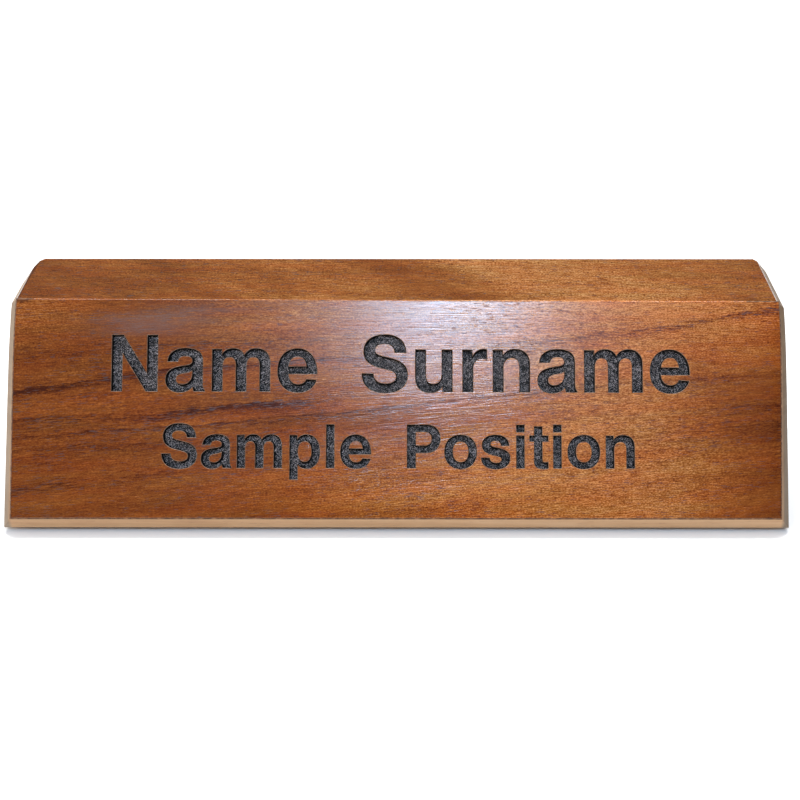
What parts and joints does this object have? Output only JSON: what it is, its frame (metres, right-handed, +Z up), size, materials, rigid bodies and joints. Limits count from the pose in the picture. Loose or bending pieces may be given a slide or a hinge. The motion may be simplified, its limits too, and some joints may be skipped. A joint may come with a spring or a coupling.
{
  "type": "desk name block",
  "caption": "Wedge-shaped wooden desk block with a leaning veneered face, flat top, pale bevelled ends and foot, and two lines of engraved, paint-filled lettering.",
  "frame": {"origin": "middle of the footprint, on the desk", "axes": "+X along the block to the right of a person reading it, +Y from the leaning face to the upright back, +Z up"},
  "size_m": [0.216, 0.0624, 0.0552],
  "materials": {
    "core_wood": "raw, sanded",
    "walnut_veneer": "satin lacquer",
    "black_paint": "rough",
    "felt": "felt"
  },
  "bodies": {
    "root": {"core_lower_board": "core_wood", "core_upper_board": "core_wood", "front_veneer": "walnut_veneer", "top_veneer": "walnut_veneer", "back_veneer": "walnut_veneer", "name_line_paint": "black_paint", "title_line_paint": "black_paint", "felt_base_pad": "felt"}
  },
  "joints": []
}
